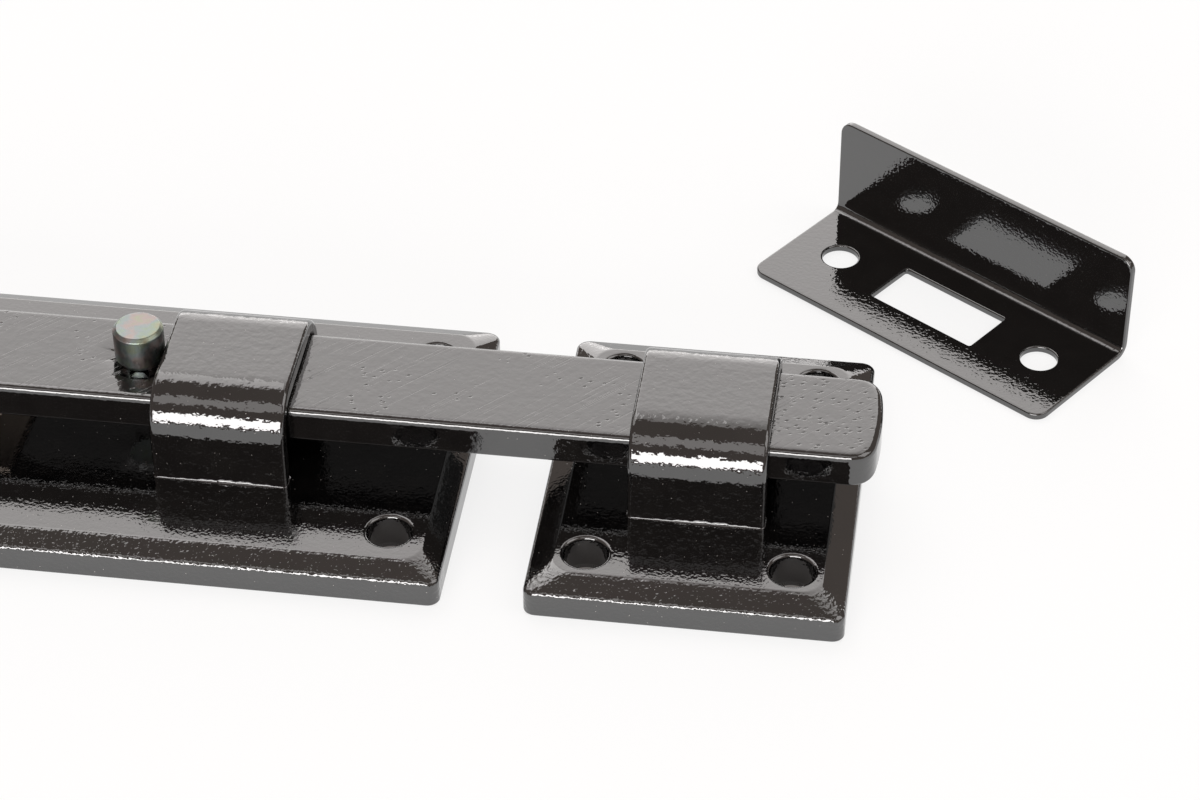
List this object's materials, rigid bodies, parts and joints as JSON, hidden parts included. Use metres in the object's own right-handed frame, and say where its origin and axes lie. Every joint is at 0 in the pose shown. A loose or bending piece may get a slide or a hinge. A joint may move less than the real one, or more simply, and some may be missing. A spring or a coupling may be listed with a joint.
{
  "type": "french door bolt",
  "caption": "Black surface bolt for a pair of doors: a flat bar slides through strap loops on a bevelled plate into a looped staple, with a slotted angle plate as the other keep.",
  "frame": {"origin": "centre of the main plate's back face", "axes": "+X along the bar, the way it shoots; +Z out of the door's face; every plate lies on Z = 0"},
  "size_m": [0.2358, 0.0898, 0.0303],
  "materials": {
    "black_coat": "gloss powder coat",
    "plated_pin": "yellow passivated zinc",
    "spring_steel": "bright"
  },
  "bodies": {
    "plates": {"main_plate": "black_coat", "front_loop": "black_coat", "rear_loop": "black_coat", "staple_plate": "black_coat", "staple_loop": "black_coat", "angle_plate": "black_coat", "leaf_spring": "spring_steel", "spring_rivet": "spring_steel"},
    "bolt": {"slide_bar": "black_coat", "stop_pin": "plated_pin", "pull_knob": "black_coat"}
  },
  "joints": [
    {"name": "bolt_slide", "type": "slide", "parent": "plates", "child": "bolt", "axis": [1, 0, 0], "range_m": [-0.0668, 0]}
  ]
}
